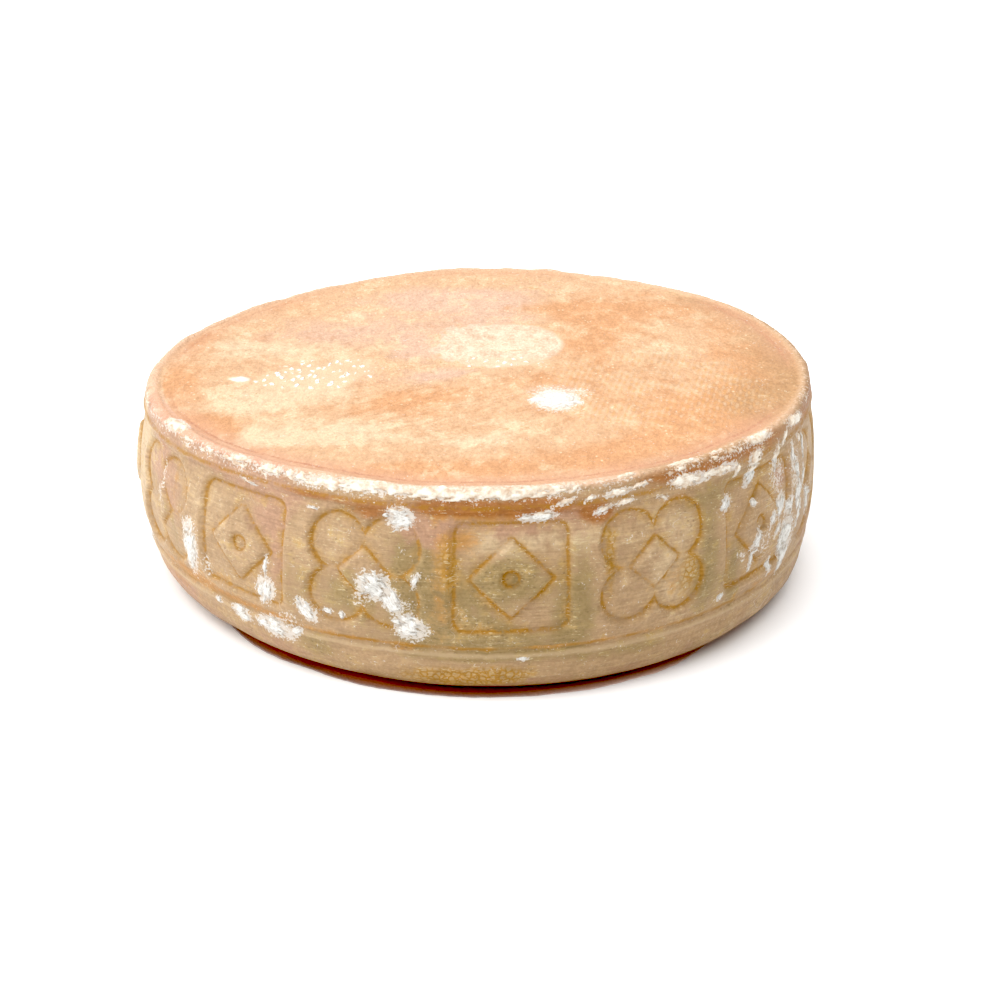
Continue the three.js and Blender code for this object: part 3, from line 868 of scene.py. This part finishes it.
class Flow:
    # wraps one socket, so that shader maths reads as Python

    __add__ = __radd__ = operator("ADD")
    __sub__, __rsub__ = operator("SUBTRACT"), operator("SUBTRACT", swapped=True)
    __mul__ = __rmul__ = operator("MULTIPLY")
    __truediv__, __rtruediv__ = operator("DIVIDE"), operator("DIVIDE", swapped=True)
    __pow__ = operator("POWER")
    most, least = operator("MAXIMUM"), operator("MINIMUM")

    def __init__(self, tree, socket=None):
        self.tree = tree
        self.socket = socket

    def node(self, kind, settings=None, values=None, out=0):
        made = self.tree.nodes.new(kind)
        for name, value in (settings or {}).items():
            if name == "stops":
                while len(made.color_ramp.elements) < len(value):
                    made.color_ramp.elements.new(1)
                for element, (position, colour) in zip(made.color_ramp.elements, value):
                    element.position = position
                    element.color = (*colour, 1)
            else:
                setattr(made, name, value)
        feed(made, values or {})
        return Flow(self.tree, made.outputs[out])

    def isValue(self, other):
        sockets = [x.socket for x in (self, other) if isinstance(x, Flow)]
        return all(x.type == "VALUE" for x in sockets) and not isinstance(other, (tuple, list))

    def math(self, operation, a, b=None):
        if self.isValue(a) and self.isValue(b):
            values = {0: a} if b is None else {0: a, 1: b}
            return self.node("ShaderNodeMath", {"operation": operation}, values)
        spread = [(x, x, x) if isinstance(x, (int, float)) else x for x in (a, b)]
        return self.node("ShaderNodeVectorMath", {"operation": operation}, {0: spread[0], 1: spread[1]})

    def size(self):
        return self.math("ABSOLUTE", self)

    def ease(self, low, high):
        # from 0 at low to 1 at high
        if low > high:
            return 1 - self.ease(high, low)
        values = {"Value": self, "From Min": low, "From Max": high}
        return self.node("ShaderNodeMapRange", {"interpolation_type": "SMOOTHSTEP"}, values)

    def blend(self, colour, other, share):
        # a colour with a share of another one
        return self.node("ShaderNodeMix", {"data_type": "RGBA"}, {0: share, 6: colour, 7: other}, 2)

    def mix(self, other, share):
        return self.blend(self, other, share)

    def sine(self):
        return self.math("SINE", self)

    def attribute(self, name):
        return self.node("ShaderNodeAttribute", {"attribute_name": name}, out=2)

    def grain(self, cell, detail=2.0, rough=0.55, stretch=None, warp=0.0):
        # noise about 0.5 with lumps as large as cell, over this place in millimetres
        place = self if stretch is None else self * stretch
        values = {"Vector": place, "Scale": 1 / cell, "Detail": detail, "Roughness": rough}
        return self.node("ShaderNodeTexNoise", None, {**values, "Distortion": warp})

    def cells(self, cell, feature="F1"):
        # distance to the nearest of many points, about cell millimetres apart, or to the edge between two
        values = {"Vector": self, "Scale": 1 / cell}
        return self.node("ShaderNodeTexVoronoi", {"feature": feature}, values, "Distance")

    def fibres(self, length, width, rough):
        # noise about 0 in strands of this length and width along each patch of mould
        values = {"X": self.attribute("lengthwise") / length, "Y": self.attribute("crosswise") / width}
        return self.node("ShaderNodeCombineXYZ", None, values).grain(1, 2, rough) - 0.5

    def parts(self):
        split = self.node("ShaderNodeSeparateXYZ", None, {0: self}).socket.node
        return [Flow(self.tree, socket) for socket in split.outputs]

    def distance(self, x, y):
        # millimetres from the upright line at x, y
        settings = {"operation": "DISTANCE"}
        return self.node("ShaderNodeVectorMath", settings, {0: self * (1, 1, 0), 1: (x, y, 0)}, 1)

    def spotAt(self, x, y, reach, soft):
        # 1 within reach of the upright line at x, y, falling to 0 over soft
        return self.distance(x, y).ease(reach + soft, reach)

    def spots(self, places):
        # 1 in the middle of any of these upright ellipses, 0 outside
        total = 0.0
        for x, y, halfWidth, halfDepth in places:
            away = (self - (x, y, 0)) * (1 / halfWidth, 1 / halfDepth, 0)
            length = away.node("ShaderNodeVectorMath", {"operation": "LENGTH"}, {0: away}, 1)
            total = length.ease(1.15, 0.4) + total
        return total.least(1.0)

    def along(self, bearing, length, width):
        # noise in strokes of this length and width on a level face
        x, y, _ = self.parts()
        lengthwise, crosswise = leaned(x, y, bearing)
        values = {"X": lengthwise / length, "Y": crosswise / width}
        return self.node("ShaderNodeCombineXYZ", None, values).grain(1, 3)


def newFinish(name):
    # a material with its Principled shader, and the object's place in millimetres as the start of its nodes
    material = bpy.data.materials.new(name)
    material.use_nodes = True
    shader = material.node_tree.nodes["Principled BSDF"]
    start = Flow(material.node_tree)
    place = start.node("ShaderNodeTexCoord", out=3) * 1000.0
    return material, shader, place


def bumped(flow, height, reach):
    # a normal from height, where 1 is reach metres high
    return flow.node("ShaderNodeBump", None, {"Strength": 1.0, "Distance": reach, "Height": height})


rindFinish = {
    "top": {
        "peach": (0.535, 0.338, 0.207),
        "pale": (0.58, 0.435, 0.292),
        "rose": (0.545, 0.36, 0.262),
        "orange": (0.515, 0.275, 0.146),
        "olive": (0.42, 0.315, 0.185),
        "patch": (0.61, 0.485, 0.37),
        "thread": (0.50, 0.27, 0.11),
        "tanAndShade": (0.39, 0.232, 0.125),
        "glintSpeck": (0.68, 0.56, 0.38),
        "glint": (0.86, 0.83, 0.74),
    },
    "side": {
        "peach": (0.395, 0.272, 0.165),
        "pale": (0.49, 0.365, 0.232),
        "rose": (0.41, 0.25, 0.172),
        "orange": (0.42, 0.215, 0.078),
        "olive": (0.285, 0.212, 0.112),
        "yellow": (0.425, 0.305, 0.135),
        "brown": (0.31, 0.137, 0.059),
        "crumbAndGlint": (0.56, 0.46, 0.29),
    },
    "cream": (0.60, 0.395, 0.28),
    "blush": (0.62, 0.335, 0.245),
    "crumbled": (0.58, 0.42, 0.305),
    "tannedAndShaded": (0.40, 0.27, 0.165),
    "flush": (0.49, 0.275, 0.185),
    "lined": (0.40, 0.195, 0.125),
    "stainAndShade": (0.33, 0.175, 0.05),
    "ground": (0.385, 0.24, 0.105),    # floor of a pressed figure
    "pit": (0.20, 0.14, 0.085),
    "underside": (0.45, 0.17, 0.09),
    "dust": (0.63, 0.585, 0.53),
    "rimDust": (0.63, 0.50, 0.385),
    "patchPlace": (8, 23, 25.5),       # the round pale patch: middle and radius
    "glintPlaces": [(-61, -9, 17, 19), (-46, -2, 11, 15), (-76, -14, 8, 10), (10, 3, 25, 6)],
    "highlightStreakPlace": (-89, -13.5),
    # the cloth's threads: turns per mm along x and y, strength
    "threads": [(0.42, -0.075, 1.0), (0.076, 0.134, 0.5), (0.24, 0.084, 0.6)],
    "cloth": (66, -30, 28, 26),        # middle, reach and soft edge
    "bump": 0.0006,
}


def gathering(place, name, ragged):
    # share of a colour that gathers here, with a ragged edge
    return (place.attribute(name) + ragged).ease(0.2, 0.95)


def finishTop(place):
    f = rindFinish["top"]
    x, y, _ = place.parts()
    drawn = place * (1, 0.55, 1)
    middling, fine = drawn.grain(4.2, 2) - 0.5, drawn.grain(1.1, 2) - 0.5
    coarse = place.grain(17, 3, warp=0.7) - 0.5
    brushed = (place.along(34, 20, 2.6) - 0.5) * place.spotAt(-5, -42, 22, 40)
    ragged = coarse * 1.5 + middling * 0.9 + brushed * 0.8
    colour = place.blend(f["peach"], f["rose"], gathering(place, "rose", ragged * -0.7))
    colour = colour.mix(f["orange"], gathering(place, "orange", ragged * -1) * 0.9)
    colour = colour.mix(f["pale"], gathering(place, "pale", ragged))
    colour = colour.mix(f["olive"], gathering(place, "olive", ragged) * 0.6)
    brownAndShadeShare = (place.attribute("brown") + ragged * 0.5).ease(0.1, 1.1)
    # clouds of pale and orange everywhere
    colour = colour.mix(f["pale"], (coarse + middling * 0.8 + fine * 0.3).ease(0.04, 0.42) * 0.6)
    colour = colour.mix(f["orange"], (coarse + middling * 0.7 + brushed * 0.5).ease(-0.1, -0.42) * 0.45)
    # the round patch where the wheel was stood on a disc, blurred towards -X
    atX, atY, radius = rindFinish["patchPlace"]
    blurred = x.ease(atX + 8, atX - 22) * 0.8 + 0.2
    ringed = place.distance(atX, atY) + (middling * 20 + coarse * 22) * blurred + fine * 3
    inPatch = ringed.ease(radius + 1.6, radius - 1.6)
    colour = colour.mix(f["patch"], inPatch * (0.78 + middling * 0.9 + fine * 0.9).least(1).most(0))
    # darker tan where brown gathers: painted shade towards the top's right edge
    colour = colour.mix(f["tanAndShade"], brownAndShadeShare * 0.9)
    mottled = (middling * 1.1 + fine * 1.3 + brushed * 0.9 + coarse * 0.4).ease(-0.5, 0.5)
    colour = colour * (0.86 + mottled * 0.28)
    # painted glints as pale specks, thickest along the front of the patch, and small brown pits
    often = place.grain(9, 1) + place.spotAt(12, -2, 6, 16) * 0.12
    glintSpecks = (place * (1, 0.6, 1)).cells(2.3).ease(0.27, 0.13) * often.ease(0.57, 0.66)
    colour = colour.mix(f["glintSpeck"], glintSpecks * 0.6)
    pits = place.cells(3.7).ease(0.13, 0.06) * often.ease(0.5, 0.38)
    colour = colour.mix(rindFinish["ground"], pits * 0.75)
    # short creases: painted shade along a dark line and a painted highlight on its pale bank
    crease = (place * (0.8, 1.25, 1)).grain(9, 2.5, warp=0.9) - 0.5
    creased = (coarse + middling * 0.5).ease(0.02, 0.14)
    colour = colour.mix(rindFinish["ground"], crease.size().ease(0.013, 0.003) * creased * 0.45)
    colour = colour.mix(f["glintSpeck"], (crease - 0.022).size().ease(0.012, 0.003) * creased * 0.4)
    grit = (place * (1, 0.7, 1)).grain(0.55, 1) + fine * 0.4
    colour = colour * (0.95 + grit.ease(0.3, 0.7) * 0.1)
    # the print of the cloth
    weave = 0.0
    for alongX, alongY, strength in rindFinish["threads"]:
        weave = ((x * alongX + y * alongY + middling * 0.7) * (2 * math.pi)).sine() * strength + weave
    cloth = place.spotAt(*rindFinish["cloth"]) * (coarse + 0.5).ease(0.3, 0.5)
    weave = weave + fine * 3
    colour = colour.mix(f["thread"], weave.ease(0.3, 1.7) * cloth * 0.5)
    colour = colour.mix(f["pale"], weave.ease(-0.4, -1.7) * cloth * 0.45)
    # painted highlights: glints on greasy bumps and one streak, with a pale painted sheen round the glints;
    # the same marks are glossy and raised
    glintAreas = place.spots(rindFinish["glintPlaces"])
    glintBeads = ((place * (1, 0.55, 1)).cells(2.7) + fine * 0.9).ease(0.42, 0.2)
    glintBeads = glintBeads * (place.grain(6, 1) + glintAreas * 0.32).ease(0.58, 0.7) * glintAreas.ease(0.05, 0.3)
    streakX, streakY = rindFinish["highlightStreakPlace"]
    highlightStreak = (y - streakY + (x - streakX) * 0.3 + middling * 7).size().ease(4.2, 0.6)
    shine = glintBeads.most(highlightStreak * place.spotAt(streakX, streakY, 1.6, 3.6))
    colour = colour.mix(f["pale"], glintAreas * 0.6).mix(f["glint"], shine)
    return colour, shine * 0.5, shine


def finishSide(place, middling, fine):
    f = rindFinish["side"]
    coarse = place.grain(14, 2, warp=0.5) - 0.5
    brushed = place.grain(1.1, 3, stretch=(0.1, 0.1, 1.0)) - 0.5
    hairs = place.grain(0.5, 1, stretch=(0.06, 0.06, 1.0)) - 0.5
    ragged = coarse * 1.3 + middling + brushed * 0.3
    colour = place.blend(f["peach"], f["pale"], gathering(place, "pale", ragged))
    colour = colour.mix(f["rose"], gathering(place, "rose", ragged * -1) * 0.8)
    colour = colour.mix(f["olive"], gathering(place, "olive", ragged + fine * 0.5) * 0.9)
    colour = colour.mix(f["yellow"], (coarse * 0.8 + middling + brushed * 0.6).ease(0.06, 0.42) * 0.6)
    colour = colour.mix(f["orange"], gathering(place, "orange", ragged + fine * 0.4) * 0.8)
    # brown, partly painted shade, under the rim and down its right side
    colour = colour.mix(f["brown"], gathering(place, "brown", ragged * 0.7) * 0.85)
    # pressed figures: an ochre line at the foot of their walls, and a stain that spreads from it
    edge = place.attribute("figureEdge") + middling * 1.4 + fine * 0.8
    worn = coarse + middling * 0.8
    spread = edge.ease(1.2, -0.8) * edge.ease(-5.0, -1.0)
    colour = colour.mix(rindFinish["ground"], spread * worn.ease(-0.2, 0.2) * 0.7)
    line = (edge + 0.8).size().ease(1.0, 0.15) * (worn + fine * 0.7).ease(-0.3, 0.05)
    colour = colour.mix(rindFinish["stainAndShade"], line * 0.8)
    # crackled crust
    cracks = (place + middling * 1.8 + fine).cells(2.1, "DISTANCE_TO_EDGE").ease(0.25, 0.05)
    crackled = gathering(place, "crackle", ragged * 0.6)
    colour = colour.mix(f["yellow"], crackled * 0.5)
    colour = colour.mix(rindFinish["stainAndShade"], cracks * crackled * 0.8)
    shade = (brushed * 0.8 + hairs * 0.45 + fine * 1.0 + middling * 0.6 + coarse * 0.5).ease(-0.5, 0.5)
    colour = colour * (0.82 + shade * 0.36)
    # pale yellow crumbs left by brushing, partly painted glints, and a few pits where the rind is olive
    crumbsAndGlints = place.grain(0.8, 2, stretch=(0.4, 0.4, 1.5)) + brushed * 0.16 + coarse * 0.3
    colour = colour.mix(f["crumbAndGlint"], crumbsAndGlints.ease(0.63, 0.74) * 0.7)
    pitted = (coarse + place.attribute("olive") * 0.14).ease(0.05, 0.16)
    dots = (place * (0.8, 0.8, 1.2)).cells(2.5).ease(0.23, 0.08)
    colour = colour.mix(rindFinish["pit"], dots * pitted * 0.6)
    # fine pale scratches
    wander = place.grain(17, 1.5, stretch=(0.5, 0.5, 1.1), warp=0.6)
    scratches = (wander - 0.5).size().ease(0.0022, 0.0007) * coarse.ease(0, 0.1)
    colour = colour.mix(rindFinish["dust"], scratches * 0.35)
    return colour, brushed * 0.35 + hairs * 0.3


def dustOn(place, rimmed, middling):
    # feathery mould dust, in strands along each patch and in streaks on the rim
    flecks = place.grain(0.9, 2, 0.65) - 0.5
    thickness = place.attribute("dust")
    stringy = thickness.ease(0.5, 0.75) * (1 - rimmed)
    flaked = flecks + (place.fibres(2.2, 0.6, 0.65) - flecks) * stringy
    torn = flaked * 1.9 + flecks * 0.6 + middling * 0.9
    return (thickness + torn).ease(0.36, 0.8)


def finishRind():
    # one shader for the side and one for the top, mixed at the rim
    f = rindFinish
    material, sideShader, place = newFinish("washedRind")
    topShader = place.node("ShaderNodeBsdfPrincipled").socket.node
    toRim = place.attribute("rimPlace")
    level = place.attribute("level")
    middling, fine = place.grain(4.2, 2) - 0.5, place.grain(1.2, 2) - 0.5
    side, sideMarks = finishSide(place, middling, fine)
    top, topMarks, shine = finishTop(place)
    # painted shade at the foot: the lowest two or three millimetres of the side turn deep red brown
    side = side.mix(f["underside"], (level + middling * 1.2).ease(2.4, 0.8))
    side = side.mix(f["top"]["peach"], (toRim + middling).ease(-1.0, 1.2))
    # dark lines under the rim and above the foot: painted shade in the grooves there
    under = (toRim + 7.4 + middling * 1.6).size().ease(1.2, 0.2) * (middling + fine).ease(-0.25, 0.1)
    ledgeShade = (level - 20.2 + middling * 1.8).size().ease(1.1, 0.2) * place.grain(11, 1).ease(0.36, 0.6)
    # a painted highlight on the ledge's top face, pale where light falls on it
    side = side.mix(f["side"]["pale"], (level - 17.6 + middling * 1.6).size().ease(1.3, 0.3) * 0.55)
    side = side.mix(f["stainAndShade"], (under * 0.75).most(ledgeShade * 0.7))
    # a flush and a broken line inside the rim
    inner = place.attribute("innerLine")
    flushed = (toRim + middling * 8).ease(17, 3) * (toRim + middling * 4).ease(-2, 1)
    top = top.mix(f["flush"], flushed * inner * 0.7)
    lined = (toRim - 5.8 + middling * 2.4).size().ease(1.1, 0.2) * (fine + middling * 0.7).ease(-0.2, 0.12)
    top = top.mix(f["lined"], lined * inner * 0.8)
    # the crumbling rim
    rimmed = (toRim + 0.2 + middling * 2.6).size().ease(3.4, 0.8)
    dust = dustOn(place, rimmed, middling)
    dustColour = place.blend(f["dust"], f["rimDust"], rimmed * (0.6 - fine * 1.5).least(1).most(0))
    cream = place.blend(f["cream"], f["blush"], place.attribute("rose").ease(0.2, 0.9))
    # the rim turns tan where brown gathers, partly painted shade along its right side
    cream = cream.mix(f["tannedAndShaded"], (place.attribute("brown") + middling * 1.4).ease(0.2, 0.9))
    crumbled = (toRim - 0.3 + middling * 1.6).size().ease(2.2, 0.6)
    cream = cream.mix(f["crumbled"], crumbled * (fine * 2.2 + middling).ease(-0.15, 0.35) * 0.85)
    creamed = rimmed * (0.75 + middling * 1.2).least(0.95).most(0.2)
    height = place.grain(1.6, 3) * (0.45 + toRim.size().ease(3.6, 1.2) * 0.9) + fine * 0.4
    faces = [(sideShader, side, sideMarks, 0.0), (topShader, top, topMarks, shine)]
    for shader, colour, marks, gloss in faces:
        feed(shader, {
            "Base Color": colour.mix(cream, creamed).mix(dustColour, dust * 0.9),
            "Roughness": 0.55 + middling * 0.3 + dust * 0.3 - gloss * 0.35,
            "Normal": bumped(place, height + marks, f["bump"]),
            "Specular IOR Level": 0.3,
        })
    sideSurface, topSurface = (Flow(place.tree, shader.outputs[0]) for shader in (sideShader, topShader))
    ontoTop = (toRim + middling * 3).ease(1.0, 3.4)
    surface = place.node("ShaderNodeMixShader", None, {0: ontoTop, 1: sideSurface, 2: topSurface})
    feed(place.tree.nodes["Material Output"], {"Surface": surface})
    return material


rind.data.materials.append(finishRind())

mouldFinish = {
    "stops": [
        (0.0, (0.38, 0.29, 0.21)),
        (0.22, (0.50, 0.44, 0.375)),
        (0.5, (0.63, 0.605, 0.565)),
        (0.85, (0.80, 0.785, 0.74)),
    ],
    "rimStops": [
        (0.0, (0.53, 0.37, 0.26)),
        (0.25, (0.60, 0.47, 0.355)),
        (0.5, (0.71, 0.61, 0.495)),
        (0.85, (0.83, 0.78, 0.69)),
    ],
}


def finishMould():
    f = mouldFinish
    material, shader, place = newFinish("whiteMould")
    lift = place.attribute("lift")
    onRim = place.attribute("onRim")
    flecks, lumps = place.grain(0.75, 2, 0.65) - 0.5, place.grain(2.8, 1) - 0.5
    flaked = lift + flecks * (0.7 - onRim * 0.2) + lumps * (0.4 + onRim * 0.9)
    flaked = flaked + place.fibres(1.9, 0.5, 0.6) * (1.7 - onRim * 1.2)
    share = {0: flaked.ease(-0.4, 0.85)}
    onSide = place.node("ShaderNodeValToRGB", {"stops": f["stops"]}, share)
    colour = onSide.mix(place.node("ShaderNodeValToRGB", {"stops": f["rimStops"]}, share), onRim)
    feed(shader, {
        "Base Color": colour,
        "Roughness": 0.92,
        "Normal": bumped(place, place.grain(0.45, 3), 0.0005),
        "Specular IOR Level": 0.2,
    })
    return material


shadowSheetFinish = {
    "stops": [
        (0.5, (0.66, 0.25, 0.17)),
        (0.66, (0.60, 0.28, 0.21)),
        (0.78, (0.47, 0.25, 0.185)),
        (0.9, (0.40, 0.26, 0.215)),
        (1.0, (0.42, 0.35, 0.34)),
    ],
    "paler": (0.84, 0.63, 0.56),
}


# painted contact shadow: dark red near the foot, greyer at its outer edge and paler towards +X
def finishShadowSheet():
    material, shader, place = newFinish("paintedContactShadow")
    smeared = place.attribute("outward") + (place.grain(2.4, 3) - 0.5) * 0.2
    shade = 0.9 + (place.grain(0.8, 3) - 0.5) * 0.3
    colour = place.node("ShaderNodeValToRGB", {"stops": shadowSheetFinish["stops"]}, {0: smeared})
    feed(shader, {
        "Base Color": colour.mix(shadowSheetFinish["paler"], place.attribute("turnedAway") * 0.9) * shade,
        "Roughness": 0.6 + (place.grain(5, 2) - 0.5) * 0.3,
        "Normal": bumped(place, place.grain(1.1, 3), 0.0003),
        "Specular IOR Level": 0.2,
    })
    return material


mouldCrust.data.materials.append(finishMould())
lip.data.materials.append(finishShadowSheet())
print("finishes made")

studio = {
    "floorReach": 12.0,
    "floorColour": (0.92, 0.925, 0.935),
    "skyLow": 0.36,
    "skyHigh": 3.6,
    "skyPower": 4.0,          # how the sky brightens from the horizon up
    "sunStrength": 2.3,
    "sunFrom": (-1.86, -0.28, 1.25),
    "sunSpread": 70,          # degrees
    "blackLevel": 0.08,       # what prints as black
    "lens": 77.37,
    "cameraDistance": 0.845,
    "cameraDown": 22.87,      # degrees
    "cameraRoll": 0.58,
    "aim": (8.35, 0.0, 20.2),
}


def buildFloor():
    reach = studio["floorReach"]
    mesh = bpy.data.meshes.new("floor")
    corners = [(-reach, -reach, 0), (reach, -reach, 0), (reach, reach, 0), (-reach, reach, 0)]
    mesh.from_pydata(corners, [], [(0, 1, 2, 3)])
    floor = addObject("floor", mesh)
    material, shader, _ = newFinish("paleFloor")
    feed(shader, {"Base Color": studio["floorColour"], "Roughness": 0.9, "Specular IOR Level": 0.0})
    mesh.materials.append(material)


def buildLights():
    world = bpy.data.worlds.new("studio")
    bpy.context.scene.world = world
    world.use_nodes = True
    up = Flow(world.node_tree).node("ShaderNodeTexCoord").parts()[2]
    light = studio["skyLow"] + studio["skyHigh"] * up.most(0) ** studio["skyPower"]
    feed(world.node_tree.nodes["Background"], {"Color": (1, 1, 1), "Strength": light})
    lamp = bpy.data.lights.new("softbox", "SUN")
    lamp.energy = studio["sunStrength"]
    lamp.angle = math.radians(studio["sunSpread"])
    sun = addObject("softbox", lamp)
    sun.rotation_euler = Vector(studio["sunFrom"]).to_track_quat("Z", "Y").to_euler()


def buildCamera():
    lens = bpy.data.cameras.new("camera")
    lens.lens = studio["lens"]
    lens.sensor_width = 36
    lens.clip_start = 0.01
    lens.clip_end = 100
    camera = addObject("camera", lens)
    down = math.radians(studio["cameraDown"])
    aim = Vector(studio["aim"]) * mm + shift
    forward = Vector((0, math.cos(down), -math.sin(down)))
    roll = Matrix.Rotation(math.radians(studio["cameraRoll"]), 3, "Z")
    turned = forward.to_track_quat("-Z", "Y").to_matrix() @ roll
    camera.matrix_world = Matrix.Translation(aim - forward * studio["cameraDistance"]) @ turned.to_4x4()
    bpy.context.scene.camera = camera


buildFloor()
buildLights()
buildCamera()
view = bpy.context.scene.view_settings
view.view_transform = "Standard"
view.use_curve_mapping = True
view.curve_mapping.black_level = [studio["blackLevel"]] * 3
print("studio ready")
